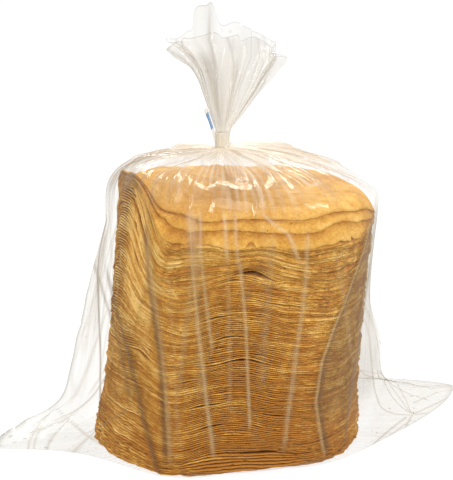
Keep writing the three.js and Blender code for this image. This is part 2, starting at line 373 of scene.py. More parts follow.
def tape_film(settings):
    """Cast polypropylene tape: glossy, pale and a little see-through, with one blue field on the
    tail, so the eye sees a thin bright strip with a saturated blue band."""
    material, add = new_material("pale_polypropylene_tape")
    ink = add("Attribute", {"attribute_name": "ink"}).outputs["Fac"]
    place = add("TexCoord").outputs["Object"]
    wrinkle = add("TexNoise", Vector=place, Scale=500.0, Detail=2.0)
    colour = add("Mix", COLOURS, _0=ink, _6=rgba(settings.tape_colour), _7=rgba(settings.field_colour))
    bump_node = add("Bump", Strength=0.3, Distance=0.0003, Height=wrinkle)
    cover = add("MapRange", Value=ink, To_Min=0.4, To_Max=0.97)
    shader = add("BsdfPrincipled", Base_Color=colour.outputs[2], Roughness=0.22, IOR=1.49, Normal=bump_node)
    clear = add("BsdfTransparent")
    mixed = add("MixShader", _0=cover, _1=clear, _2=shader)
    add("OutputMaterial", Surface=mixed)
    return material


# The stack

def local_folds(angle, height, folds):
    """Where a few tortillas are buckled up, those above ride over them: from its own height up,
    each fold lifts the rims by a bump round the circle that fades upwards."""
    lift = 0
    for centre, width, foot, rise, fade in folds:
        above = height - foot
        lift = lift + rise * bump(angle, centre, width) * np.where(above >= 0, np.exp(-above / fade), 0)
    return lift


# Folds at the front: angle, width, height where they start, rise and fading height.
FRONT_FOLDS = [
    (254, 6.5, 122.5, 3.2, 14), (224, 5, 124.5, 1.4, 12), (300, 4, 132.5, 1.8, 7), (309, 3.5, 127, 0.8, 6),
    (191, 5, 133, 1.6, 8), (238, 7, 96, 1.0, 9), (268, 6, 107, 1.2, 9), (284, 5, 112, 1.2, 8),
    (252, 8, 66, 1, 8), (292, 7, 17, 1.2, 9), (262, 12, 10, 1.0, 8), (236, 6, 41, 0.9, 7),
    (246, 4, 118, 1.1, 5), (262, 5, 116, 0.9, 5), (231, 4, 112, 0.8, 5), (275, 5, 96, 0.8, 5),
    (246, 5, 82, 0.8, 5), (289, 6, 74, 0.7, 5), (217, 5, 88, 0.7, 6), (241, 5, 27, 0.8, 5),
    (271, 6, 36, 0.8, 5), (284, 5, 52, 0.7, 5), (228, 5, 58, 0.7, 5), (206, 5, 66, 0.7, 6),
]


def stack_rims(settings, angle, rng):
    """Heights, rim heights, radii, thicknesses and tones of every tortilla and angle, the tones with painted
    light and shade in them.
    The rims start from even levels and take the common wave and the local folds. A running mean
    over the neighbours makes them lie parallel, and each is pressed under the one above it."""
    count = settings.count
    top_height = settings.stack_height / METRE
    level = np.linspace(0, 1, count)[:, None]
    joint = np.cumsum(rng.choice([2, 3, 4, 5], count))
    group = np.searchsorted(joint, np.arange(count), "right")
    parted = np.concatenate([[0], np.diff(group)])[:, None]
    steps = np.clip(0.88 + 0.44 * parted[1:, 0] + 0.1 * rng.standard_normal(count - 1), 0.5, 1.7)
    height = (0.6 + (top_height - 1.2) * np.concatenate([[0], np.cumsum(steps)]) / steps.sum())[:, None]
    index = np.arange(count)[:, None]
    hidden = [(rng.uniform(0, 360), rng.uniform(3, 9), rng.uniform(8, 136), rng.uniform(0.2, 0.7),
               rng.uniform(4, 10)) for _ in range(34)]
    rim = height + rim_wave(angle, level) + local_folds(angle, height, hidden)
    loose = ramp(level, 0, 0.4, 0.1, 1, 0.97, 1, 1, 0.2)
    rim = rim + loose * 0.4 * drift(angle, index, rng, (6, 18), 16.0)
    front = smooth((angle - 186) / 30) * smooth((338 - angle) / 36)
    droop = front * (14.2 + 4.6 * bump(angle, 208, 13) - 4 * bump(angle, 308, 24))
    rim = rim - 1.1 * droop * level ** 3
    for _ in range(3):
        rim[1:-1] = 0.5 * rim[1:-1] + 0.25 * (rim[2:] + rim[:-2])
    rim = rim + local_folds(angle, height, FRONT_FOLDS)
    rim = rim + 0.06 * loose * drift(angle, index * 7.7, rng, (15, 70), 1.0)
    short = np.array([[0.2], [4.0], [8.0]]) * front - 0.8
    drape = rim_wave(angle, 1.0) - droop + 0.5 * drift(angle, 0, rng, (6, 18), 1)
    lifted = np.array([[0.2], [0.6], [1.0]])
    sheet = 9.0 * np.arange(TOP_SHEETS)[:, None]
    rim[-TOP_SHEETS:] = (height[-TOP_SHEETS:] + drape + front * lifted
                         + 0.22 * np.abs(drift(angle, sheet, rng, (8, 40), 1.0)))
    height[-TOP_SHEETS:] += lifted
    tightest = 0.55 * index
    rim = np.minimum.accumulate((rim - tightest)[::-1], axis=0)[::-1] + tightest
    rim = np.maximum(rim, 0.45 + 0.5 * index)
    gap = np.diff(rim, axis=0)
    room = np.minimum(np.vstack([gap[:1], gap]), np.vstack([gap, gap[-1:]]))
    thickness = np.clip(0.9 * room, 0.45, 1.65)

    radius = settings.radius / METRE + foot_spread(angle, rim) - foot_tuck(angle, rim)
    own = rng.standard_normal((count, 1))
    shared = rng.standard_normal(count)[group][:, None]
    crumble = 1 + 1.6 * np.exp(-rim / 14)
    noise = rng.standard_normal((count, angle.size))
    rag = (noise + np.roll(noise, 1, 1) + np.roll(noise, 2, 1)) / 3 ** 0.5
    bite = -1.1 * np.clip(drift(angle, index * 7.3, rng, (30, 90), 1.0) - 1.9, 0, 0.8)
    offset = (0.1 * own + 0.33 * shared + 0.08 * drift(angle, index, rng, (4, 16), 1.5)
              + 0.16 * drift(angle, group[:, None] * 3.1, rng, (6, 30), 1.0)
              + 0.2 * drift(angle, index, rng, (4, 14), 7.0) + crumble * (0.1 * rag + bite)
              + 0.1 * drift(angle, index * 5.1, rng, (14, 60), 1.0) * crumble)
    radius = radius + np.clip(offset, -3.0, 1.6)
    ragged = 0.35 * drift(angle, sheet, rng, (3, 14), 1.0) + (0.14 * rag + bite)[-TOP_SHEETS:]
    radius[-TOP_SHEETS:] = settings.radius / METRE - short + ragged
    # painted light and shade in the tone: lighter on the raised left higher up, and darker towards the foot,
    # most at the front; the rest is tone that differs at random
    tone = (0.55 * rng.standard_normal((count, 1)) + 0.45 * drift(angle, index, rng, (2, 10), 3.0)
            + 0.4 * drift(angle, index * 3.3, rng, (30, 90), 1.0) - 0.4
            + (0.7 + 1.2 * smooth((level - 0.45) / 0.4)) * bump(angle, 192, 18)
            + 0.45 * drift(angle, group[:, None] * 3.1, rng, (3, 14), 1.0)
            - 3.4 * np.exp(-height / 60) * (0.2 + 0.8 * bump(angle, 264, 34)))
    tone[-TOP_SHEETS:] = np.array([[0.1], [0.2], [0.1]]) + 0.3 * drift(angle, 0, rng, (2, 10), 1.0)
    return np.stack(np.broadcast_arrays(height, rim, radius, thickness, tone))


def bake_stack(settings, name, angle, data, fractions, sharp, material):
    """One joined mesh of closed tortillas, from some rows of what stack_rims returns. Each runs
    from its centre out along its top face at the given fractions of its radius, round a thin
    blunt edge, and back along its underside. A face lies at its level, rises with the square of
    the radius to a raised rim, or bends down over the last few millimetres to a lowered one."""
    height, rim, radius, thickness, tone = data
    base = settings.radius / METRE
    edge_in = np.array([0.2, 0.0, 0.32])
    edge_up = np.array([0.30, -0.06, -0.36]) * (1.3 if sharp else 1)
    rows_out = len(fractions)
    share = np.concatenate([fractions, [1, 1, 1], fractions[::-1]])
    # painted shade: the hidden faces, the inner edge and the undersides of each rim take the gap value, which
    # paints the shade between neighbouring tortillas
    face_gap_shade = np.zeros(rows_out) if sharp else np.array([1.0, 1.0, 0.85])
    under = np.full(rows_out, 0.2 if sharp else 1.0)
    gap = np.concatenate([face_gap_shade, [0.05, 0.0, 0.15 if sharp else 0.5], under])
    inward = np.concatenate([np.zeros(rows_out), edge_in, np.zeros(rows_out)])
    lift = np.concatenate([np.full(rows_out, 0.5), edge_up, np.full(rows_out, -0.5)])
    r = radius[:, None, :] * share[None, :, None] - inward[None, :, None]
    rise = (rim - height)[:, None, :]
    bend = (r - base + BEND) / (BEND if sharp else radius[:, None, :] - base + BEND)
    bend = np.clip(bend, 0, 1.1) ** 2.5
    shape = np.where(rise > 0, np.clip(r / base, 0, 1.3) ** 2, bend)
    z = height[:, None, :] + rise * shape + lift[None, :, None] * thickness[:, None, :]
    if sharp:
        dents = np.random.default_rng(31)
        for _ in range(46):
            where, far = dents.uniform(0, 360), base * dents.uniform(0.05, 1) ** 0.6
            wide = dents.uniform(4, 11)
            spot = r ** 2 + far ** 2 - 2 * far * r * np.cos(np.radians(angle - where))
            z = z + dents.uniform(0, 0.6) * np.exp(-spot / wide ** 2)
    points = from_stack_axis(angle, r, z)
    count, rows, columns = points.shape[:3]
    middle = points.mean(2)
    poles = np.stack([middle[:, 0], middle[:, -1]], 1)
    poles[..., 2] = height[:, :1] + thickness.mean(1)[:, None] * [0.5, -0.5]
    each = rows * columns + 2
    flat = np.concatenate([points.reshape(count, -1, 3), poles], 1).reshape(-1, 3)
    flat[:, 2] = np.maximum(flat[:, 2], CRUMB_GROUND)
    quads, triangles = ring_faces(rows, columns)
    shift = (np.arange(count) * each)[:, None, None]
    quads = (quads[None] + shift).reshape(-1, 4)[:, ::-1]
    triangles = (triangles[None] + shift).reshape(-1, 3)[:, ::-1]
    tones_and_shade = np.repeat(tone[:, None, :], rows, 1)
    if sharp:
        # painted shade: each sheet is darker and warmer where it comes out from under the rim above it,
        # standing in for the shade and warm bounced light in that recess
        above = np.vstack([radius[1:], radius[-1:] + base])[:, None, :]
        tones_and_shade = tones_and_shade - 2.6 * np.exp(-np.abs(r - above) / 1.1)
    tones_and_shade = np.concatenate([tones_and_shade.reshape(count, -1), np.repeat(tone.mean(1)[:, None], 2, 1)], 1)
    gap_shades = np.concatenate([np.repeat(gap, columns), [gap[0], 1.0]])
    piece = new_piece(name, flat, quads, triangles, material,
                      {"tone": tones_and_shade, "gap": 0.95 * np.tile(gap_shades, count)})
    settle(piece, "tortilla", "filled_bag")


# The film

def pleat_distance(points):
    """Distance of each grid point from the neck, measured along the film down each column."""
    step = np.linalg.norm(np.diff(points, axis=0), axis=-1)
    return np.concatenate([np.cumsum(step[::-1], axis=0)[::-1], np.zeros((1, points.shape[1]))])


def crease(angle, z, radius, path, width):
    """A round ridge along a path of angle and height: e to the minus squared distance over width."""
    path = np.array(path, float)
    heights, angles = path[::-1, 1], path[::-1, 0]
    centre = np.interp(z, heights, angles)
    across = arc_between(angle, centre, radius) / width
    ends = smooth((z - heights[0] + 6) / 12) * smooth((heights[-1] + 6 - z) / 12)
    return np.exp(-across ** 2) * ends


# Creases that hang over the front of the stack, from the top down: path of angle and height,
# width, how far it stands out, and how much grey fold and milk it carries. The grey is partly
# painted shade and the milk partly painted highlight.
FRONT_CREASES = [
    ([(182, 112), (200, 67), (213, 27), (222, 4)], 1.5, 0.7, 0.6, 0.06),
    ([(203.5, 144), (209, 110), (216.5, 67), (224.5, 11)], 1.4, 0.7, 0.62, 0.06),
    ([(205.5, 138), (211, 106), (218.5, 64), (226.5, 11)], 1.4, 0.3, 0.12, 0.2),
    ([(173, 113), (192, 77), (204, 40)], 1.3, 0.6, 0.5, 0.06),
    ([(224, 159), (227.5, 127), (232.5, 88), (238.5, 47), (243.5, 16)], 1.0, 0.5, 0.12, 0.34),
    ([(229.5, 160), (230.5, 134), (234.5, 106), (239, 77)], 0.8, 0.5, 0.14, 0.3),
    ([(225, 162), (227, 140), (229.5, 118)], 2.6, 0.3, 0.06, 0.26),
    ([(239, 162), (240.5, 142), (242, 128)], 0.9, 0.4, 0.06, 0.32),
    ([(243.5, 162), (244.5, 142), (247, 124)], 0.8, 0.4, 0.06, 0.3),
    ([(247, 129), (251.7, 92), (254.5, 60), (257, 31)], 0.75, 0.5, 0.12, 0.34),
    ([(274.5, 142), (275.5, 106), (273.7, 52), (272, 18)], 1.3, 0.6, 0.16, 0.26),
    ([(319, 143), (309, 118), (296, 87), (289.2, 65), (287.6, 41), (293.3, 8)], 1.6, 0.8, 0.65, 0.06),
    ([(327, 130), (320, 91), (311, 51), (304.6, 10)], 1.6, 0.8, 0.55, 0.06),
    ([(317, 140), (307, 116), (294.5, 86), (287.8, 65), (286, 41), (291.5, 8)], 1.0, 0.3, 0.08, 0.3),
    ([(253, 158), (259, 150), (266, 143), (271.6, 127)], 1.0, 0.6, 0.08, 0.4),
    ([(172, 150), (176, 110), (180.5, 85), (184, 60), (188, 25)], 0.6, 0.5, 0.75, 0.05),
    ([(192, 125), (180, 62), (176, 28)], 0.8, 0.6, 0.2, 0.08),
    ([(186, 146), (178, 100), (175, 70)], 0.7, 0.6, 0.18, 0.08),
    ([(190, 52), (177, 18)], 0.6, 0.8, 0.4, 0.1),
    ([(204, 36), (184, 10)], 0.9, 0.7, 0.25, 0.1),
    ([(197, 80), (181, 34)], 0.7, 0.6, 0.2, 0.08),
    ([(338, 120), (345, 60), (350, 22)], 1.1, 0.9, 0.35, 0.12),
    ([(330, 60), (342, 14)], 1.0, 0.8, 0.35, 0.12),
]


# Folds of the two flat corners, as lines between two points of the floor plan, and a width.
WING_FOLDS = [
    (104, -28, 82, -53, 0.8), (104, -28, 61, -36, 0.7), (104, -28, 117, 35, 0.7), (104, -28, 149, -1, 0.8),
    (104, -28, 100, 16, 0.7), (104, -28, 122, -24, 0.7), (104, -28, 82, 3, 0.8), (97, -32, 31, -82, 0.9),
    (63, -60, 100, -34, 0.6), (138, 10, 110, 24, 0.7), (90, 0, 112, 30, 0.8), (126, -8, 96, 6, 0.6),
    (118, 34, 92, 26, 0.8), (140, 4, 112, -14, 0.6), (100, 16, 86, 36, 0.7), (110, -38, 128, -24, 0.6),
    (-131, 20, -98, 18, 0.7), (-140, 3, -112, 0, 0.7), (-146, 2, -126, 8, 0.7), (-126, 0, -100, -16, 0.7),
    (-134, 8, -92, -6, 0.7), (-120, 10, -96, -26, 0.7), (-144, 6, -104, 12, 0.6),
]


def bag_directions(columns):
    """Angles round the bag, drawn closer together over the two corners, where the film runs out
    far. They are even steps of a running total of density."""
    fine = np.linspace(0, 360, 7201)
    density = 1 + 5 * bump(fine, LEFT_CORNER["angle"], 7, 1.2) + 2.4 * bump(fine, RIGHT_CORNER["angle"], 24)
    total = np.concatenate([[0], np.cumsum(density[:-1])])
    return np.interp(np.arange(columns) / columns * total[-1], total, fine)


def bag_side(angle, t, radius, top_height):
    """The side of the bag, t from 0 on the ground to 1 at the shoulder."""
    shoulder = (top_height - 4.5 - 12 * bump(angle, 165, 22) - bump(angle, 250, 40)
                + 2.5 * bump(angle, 340, 45))
    z = shoulder * t
    return from_stack_axis(angle, film_radius(angle, z, radius) - foot_tuck(angle, z), z)


def bag_top(angle, s, edge, top_height):
    """The top of the bag, s from 0 at the shoulder to 1 at the neck: a superellipse, squarer
    over the raised left of the stack and straighter at the right, that rises to the neck over
    the last few millimetres."""
    power = 2.3 + 2.4 * bump(angle, 190, 30) + 0.4 * bump(angle, 250, 60) - 0.9 * bump(angle, 342, 48)
    out = np.cos(np.pi / 2 * s) ** (2 / power)
    up = np.sin(np.pi / 2 * s) ** (2 / power)
    level = top_height + 24.5 - 3 * bump(angle, 70, 60)
    foot = round_axis(NECK_CENTRE, angle, NECK["radius"], 0)[..., :2]
    reach = np.hypot(edge[:, 0] - foot[:, 0], edge[:, 1] - foot[:, 1]) * out
    flat = foot + (edge[:, :2] - foot) * out[..., None]
    z = edge[:, 2] + (level - edge[:, 2]) * up + (NECK["bottom"] - level) * np.exp(-reach / 9)
    return np.concatenate([flat, z[..., None]], -1)


def neck_pleats(angle, away, around, rng):
    """Folds that run out from the neck. Many sharp ones start at the neck and end at different
    distances, widening as they go; a few are broad fingers with a rounded end. away is the
    distance from the neck, and around the distance from its axis. The milk lies on the sharp
    pleats and, as a painted highlight, along the edges of the fingers. Returns height, fold and milk."""
    height, fold, milk = 0, 0, 0
    around = np.maximum(around, 3)
    for _ in range(210):
        centre, end = rng.uniform(0, 360), 14 + 96 * rng.uniform()
        sway = rng.uniform(-5, 5)
        x = arc_between(angle, centre + sway * np.sin(away / 30), around)
        width = rng.uniform(0.35, 0.8) + rng.uniform(0.008, 0.03) * away
        body = np.exp(-np.abs(x) / width) * smooth((end - away) / (0.3 * end)) * smooth(away / 5)
        height = height + rng.uniform(0.25, 1.1) * body * np.minimum(1, 0.35 + away / 30)
        fold = np.maximum(fold, rng.uniform(0.05, 0.4) * body)
        milk = milk + rng.uniform(0.0, 0.3) * body * np.exp(-away / 70)
    for _ in range(26):
        centre, end = rng.uniform(0, 360), rng.uniform(34, 88)
        sway = rng.uniform(-7, 7)
        x = arc_between(angle, centre + sway * away / 60, around)
        width = 0.7 + rng.uniform(0.03, 0.075) * away
        body = np.exp(-(x / width) ** 4) * smooth((end - away) / 6) * smooth(away / 8)
        height = height + rng.uniform(0.8, 2.0) * body * np.minimum(1, away / 35)
        # painted highlight: milk along the outline of each finger stands for the glint on its rounded edge
        outline_glint = (4 * body * (1 - body)) ** 4
        milk = milk + (rng.uniform(0.15, 0.5) * outline_glint + 0.11 * body) * smooth(away / 25)
    return height, fold, milk


def line_distance(points, start, end):
    """Distance of each point from the line between two points."""
    way = np.subtract(end, start)
    offset = points - start
    along = np.clip(offset @ way / (way @ way), 0, 1)
    return np.linalg.norm(offset - along[..., None] * way, axis=-1)


def straight_creases(points, places, rng, count, lengths, widths, heights):
    """Straight ridges and valleys in random directions near the given places, each falling as
    e to the minus distance over width from a line between two points. Returns height and line."""
    height, line = 0, 0
    for _ in range(count):
        start = places[rng.integers(len(places))] + rng.normal(0, 4, 3)
        way = rng.standard_normal(3) * [1, 1, 0.6]
        way = way / np.linalg.norm(way) * rng.uniform(*lengths)
        ridge = np.exp(-line_distance(points, start, start + way) / rng.uniform(*widths))
        height = height + rng.choice([-1, 1]) * rng.uniform(*heights) * ridge
        line = np.maximum(line, rng.uniform(0.3, 1) * ridge)
    return height, line


# Rows of the film where one piece ends and the next begins
FILM_PIECES = [("bag_foot", 0, 50), ("bag_side", 50, 112), ("bag_waist", 112, 174), ("bag_top", 174, 222),
               ("bag_crown", 222, 269)]


def blow_bag(settings, material):
    """The bag from under the stack to the neck: the ground, the side, the top and the pinched
    neck, with pleats, creases and crinkles pushed out along the surface's own normal."""
    rng = np.random.default_rng(5)
    stack = settings.id_data.tortilla_bag_stack
    radius, top_height = stack.radius / METRE, stack.stack_height / METRE
    angle = bag_directions(settings.columns)
    t = np.concatenate([0.1 * np.linspace(0, 1, 51)[:-1] ** 2, np.linspace(0.1, 1, 124)])[:, None]
    side = bag_side(angle, t, radius, top_height)
    edge = side[-1]
    s = np.concatenate([np.linspace(0, 0.9, 71)[1:], np.linspace(0.91, 1, 21)])[:, None]
    top = bag_top(angle, s, edge, top_height)
    neck_rows = np.linspace(NECK["bottom"], NECK["seam"], 5)[1:, None]
    neck = round_axis(NECK_CENTRE, angle, NECK["radius"], neck_rows)
    points = np.concatenate([side, top, neck])
    away = pleat_distance(points)
    around = np.hypot(points[..., 0] - NECK_CENTRE[0], points[..., 1] - NECK_CENTRE[1])
    normal = surface_normals(points)

    pleat, fold, milk = neck_pleats(angle, away, around, rng)
    height = pleat - 0.85 * pleat.mean(1, keepdims=True)
    height = height + np.cos(np.radians(15 * angle)) * smooth(away / 30) * smooth((95 - away) / 50)
    z = points[..., 2]
    streak = np.clip(0.5 + 0.5 * drift(angle, away, rng, (18, 110), 90.0, 30), 0, 1.4)
    dome = smooth((z - 146) / 20) * (1 - 0.3 * bump(angle, 330, 60))
    crown = 0.55 * np.exp(-(away / (42 + 26 * bump(angle, 258, 34))) ** 1.6) + 0.05
    veil = 0.008 + dome * (crown * (0.3 + 0.9 * streak) + 0.9 * milk) * (1 - 0.5 * bump(angle, 180, 40))
    # painted shade in part: grey streaks over the top, most on the left
    fold = fold + dome * (0.04 + 0.3 * bump(angle, 165, 30)) * streak

    def mark(line, out, grey, milk):
        """Raise the film by a line, and make it at least as grey, partly painted shade, and as milky, partly
        painted highlight.
        """
        nonlocal height, fold, veil
        height = height + out * line
        fold = np.maximum(fold, grey * line)
        veil = np.maximum(veil, milk * line)

    on_side = smooth((150 - z) / 12 + 1)
    # painted shade and highlight in part: each front crease is painted greyer and milkier along its path
    for path, width, out, grey, white in FRONT_CREASES:
        mark(crease(angle, z, around, path, 1.35 * width) * on_side, 0.2 * out, grey, 1.1 * white)
    for _ in range(60):
        start, foot = rng.uniform(0, 360), rng.uniform(5, 110)
        slant = rng.normal(0, 9)
        path = [(start, rng.uniform(115, 168)), (start + slant, foot)]
        mark(crease(angle, z, around, path, rng.uniform(0.9, 2.4)) * on_side,
             rng.uniform(0.1, 0.4), rng.uniform(0, 0.16), rng.uniform(0, 0.16))
    from_axis = np.linalg.norm(points[..., :2] - STACK_FOOT - LEAN * z[..., None], axis=-1)
    corners = smooth((from_axis - CORNERS_START) / 8)
    far = points[(corners > 0.9) & (z > 0.5)]
    crumple, line = straight_creases(points, far, rng, 150, (12, 70), (0.4, 1.1), (0.2, 1.2))
    height = height + corners * crumple
    # painted shade: the crumple lines, facets, wing folds and short streaks low on the corners are painted
    # grey, greyer at the right corner
    right = bump(angle, RIGHT_CORNER["angle"], 60, 4)
    fold = np.maximum(fold, (0.24 + 0.2 * right) * corners * line ** 3)
    veil = np.maximum(veil, 0.07 * corners * line ** 2)
    facets, line = straight_creases(points, far, rng, 26, (20, 80), (3, 8), (0.6, 1.8))
    height = height + corners * np.abs(facets)
    fold = np.maximum(fold, (0.06 + 0.12 * right) * corners * line * smooth((45 - z) / 15))
    for x0, y0, x1, y1, width in WING_FOLDS:
        line = np.exp(-line_distance(points[..., :2], (x0, y0), (x1, y1)) / (0.6 * width))
        mark(line * corners * smooth((30 - z) / 14), 0.6, 0.38 + 0.2 * right, 0.12)
    streak_shade = drift(angle, 3 * z, rng, (60, 300), 9.0, 30) - 1.9 + 0.25 * right
    streak_shade = corners * np.clip(streak_shade, 0, 1) * (z < 10)
    fold = np.maximum(fold, 0.6 * streak_shade)
    skin = points[(z > 20) & (z < 150)][::97]
    crumple, line = straight_creases(points, skin, rng, 90, (8, 40), (0.4, 1.1), (0.05, 0.35))
    height = height + crumple
    mark(line, 0, 0.09, 0.1)
    slack = bump(angle, LEFT_SEAM, 16) + bump(angle, RIGHT_SEAM, 34)
    height = height + (0.35 + 0.3 * slack) * smooth(away / 60) * smooth(z / 6) * (
        0.5 * drift(angle, z, rng, (5, 20), 110.0) + 0.25 * drift(angle, z, rng, (16, 40), 60.0))
    # painted shade: the looser film right of the long slanting crease stands off the stack and is painted
    # grey
    slanting = np.interp(z, [8, 41, 65, 87, 118, 143], [293.3, 287.6, 289.2, 296, 309, 319])
    loose = smooth((angle - slanting) / 3) * smooth((352 - angle) / 20) * smooth((150 - z) / 14)
    loose = loose * smooth((z - 15) / 25)
    # painted shade: the two slack fins are painted greyer, more so higher up and in streaks, with a little
    # milk
    sail = (bump(angle, 172, 19, 4) * smooth((168 - z) / 20)
            + 0.8 * bump(angle, RIGHT_SEAM, 34, 4) * smooth((120 - z) / 40))
    sail = sail * (0.1 + 0.9 * smooth((z - 20) / 110))
    sail = sail * np.clip(0.5 + 0.45 * drift(angle, z, rng, (40, 200), 120.0, 24), 0, 1.3)
    fold = fold + 0.3 * loose + 0.2 * sail
    veil = veil + 0.05 * (loose + sail)
    # painted shade: grey lines along the hem and the corner ridges, and a grey tint low on the corners
    hem = corners * np.exp(-z / 0.15)
    ridge = corners * (bump(angle, LEFT_CORNER["angle"], 0.5) + 0.5 * bump(angle, RIGHT_CORNER["angle"], 1))
    low = (0.05 + 0.03 * right) * corners * smooth((45 - z) / 20)
    fold = np.maximum(fold, 0.3 * hem + 0.3 * ridge + low)
    veil = np.maximum(veil, 0.025 * corners * smooth((30 - z) / 20))
    points = points + normal * (height * smooth(z / 1.5))[..., None]
    points[..., 2] = np.maximum(points[..., 2], GROUND)
    fold = fold * (1 - 0.7 * np.exp(-away / 5))
    fold[0], veil[0] = 0.03, 0.02
    columns = points.shape[1]
    pole = np.array([[*STACK_FOOT, GROUND]])
    for name, first, last in FILM_PIECES:
        part, closed = slice(first, last + 1), first == 0
        grid = points[part].reshape(-1, 3)
        quads, triangles = ring_faces(len(points[part]), columns, (closed, False))
        values = {"veil": np.clip(veil[part], 0, 1).ravel(), "fold": np.clip(fold[part], 0, 0.8).ravel()}
        if closed:
            grid = np.concatenate([grid, pole])
            values = {key: np.append(value, 0.02) for key, value in values.items()}
        settle(new_piece(name, grid, quads, triangles, material, values), "clear_film", "filled_bag")


def mouth_grid(angle, u):
    """The mouth above the neck, u from 0 at the neck to 1 at the rim: an uneven trumpet, wider
    to the right, with a pulled-out left tip and one corner that stands up as a flap."""
    turned = angle - VIEW_ANGLE
    lifted = u ** 5
    rim = (MOUTH_HEIGHT + 5 * bump(turned, 270, 50) + 7 * bump(turned, 90, 50)
           - 5 * bump(turned, 180, 30) - 11 * bump(turned, 0, 35))
    flap = bump(turned, 113, 14, 4)
    stand = 14 - 6 * smooth((turned - 108) / 16)
    rise = rim * u + stand * flap * lifted + 6 * bump(turned, 101, 4) * u ** 8
    left = NECK["radius"] + 0.31 * rise + 9 * (np.maximum(0, rise - 30) / 20) ** 2
    right = NECK["radius"] + 0.72 * rise
    deep = np.minimum(24, 0.36 * (left + right))
    to_right = np.cos(np.radians(turned))
    across = np.where(to_right > 0, np.minimum(right, 34), np.minimum(left, 32))
    pleat = 1 + (0.04 + 0.07 * u) * np.cos(np.radians(9 * turned + 40)) - 0.2 * flap * lifted
    x = across * to_right * pleat - 2.5 * flap * lifted
    y = deep * np.sin(np.radians(turned)) * pleat
    return x, y, rise, flap


def ruffle_mouth(material):
    """The gathered mouth: the trumpet with sharp pleats that fan out from the neck, a rim that
    wanders and curls, and crinkles."""
    rng = np.random.default_rng(11)
    columns, rows = 560, 96
    angle = np.arange(columns) * 360 / columns
    u = np.linspace(0, 1, rows)[:, None]
    x, y, rise, flap = mouth_grid(angle, u)
    z = NECK["seam"] + (NECK["top"] - NECK["seam"]) * smooth(u / 0.05) + rise
    points = turned_to_view(x, y, z)
    normal = surface_normals(points)
    around = np.maximum(np.hypot(x, y), 2)
    height, fold, milk = 0, 0, 0
    for broad in [True] * 13 + [False] * 46:
        middle, end = rng.uniform(0, 360), rng.uniform(0.45, 1.5)
        sway = rng.uniform(-14, 14)
        across = arc_between(angle, middle + sway * u ** 2, around)
        if broad:
            width, tall = 0.6 + rng.uniform(1.5, 4) * u, rng.uniform(-2.2, 2.4)
            body = np.exp(-(across / width) ** 2)
        else:
            width, tall = 0.25 + rng.uniform(0.2, 0.8) * u, rng.uniform(-0.7, 0.7)
            body = np.exp(-np.abs(across) / width)
        body = body * smooth((end - u) / 0.3) * smooth(u / 0.08)
        height = height + tall * body * (0.2 + 0.8 * u)
        fold = np.maximum(fold, (0.08 if broad else rng.uniform(0.05, 0.5)) * body)
        milk = milk + (0.1 if broad else rng.uniform(0, 0.25)) * body
    crumple, line = straight_creases(points, points[rows // 2:].reshape(-1, 3), rng, 60, (5, 26),
                                     (0.25, 0.7), (0.2, 0.8))
    height = height + u * crumple
    fold = np.maximum(fold, 0.35 * u * line)
    height = height + 0.9 * smooth((u - 0.4) / 0.6) * drift(angle, rows * u, rng, (5, 15), 60.0)
    points = points + normal * height[..., None]
    points[..., 2] += smooth((u - 0.75) / 0.25) * (0.9 * drift(angle, 0, rng, (4, 20), 1.0) - 0.6)
    # painted shade in part: the mouth is greyer in its middle, along one deep fold and in a line at its rim
    middle = bump(angle - VIEW_ANGLE, 245, 50, 4) * (1 - u ** 4)
    flap = flap * u ** 3
    veil = 0.05 + (0.4 * np.exp(-u / 0.3) + 0.08 + 0.16 * middle) * (0.6 + milk) + 0.1 * flap
    fold = (1.2 * fold + 0.05 + 0.3 * middle + 0.08 * flap
            + 0.35 * bump(angle - VIEW_ANGLE, 246, 9, 4) * smooth(u / 0.3) * smooth((0.9 - u) / 0.2))
    fold = np.maximum(fold, 0.45 * smooth((u - 0.985) / 0.015))
    quads, triangles = ring_faces(rows, columns, (False, False))
    settle(new_piece("bag_mouth", points.reshape(-1, 3), quads, triangles, material,
                     {"veil": np.clip(veil, 0, 1), "fold": np.clip(fold, 0, 0.8)}),
           "clear_film", "filled_bag")


# The tape

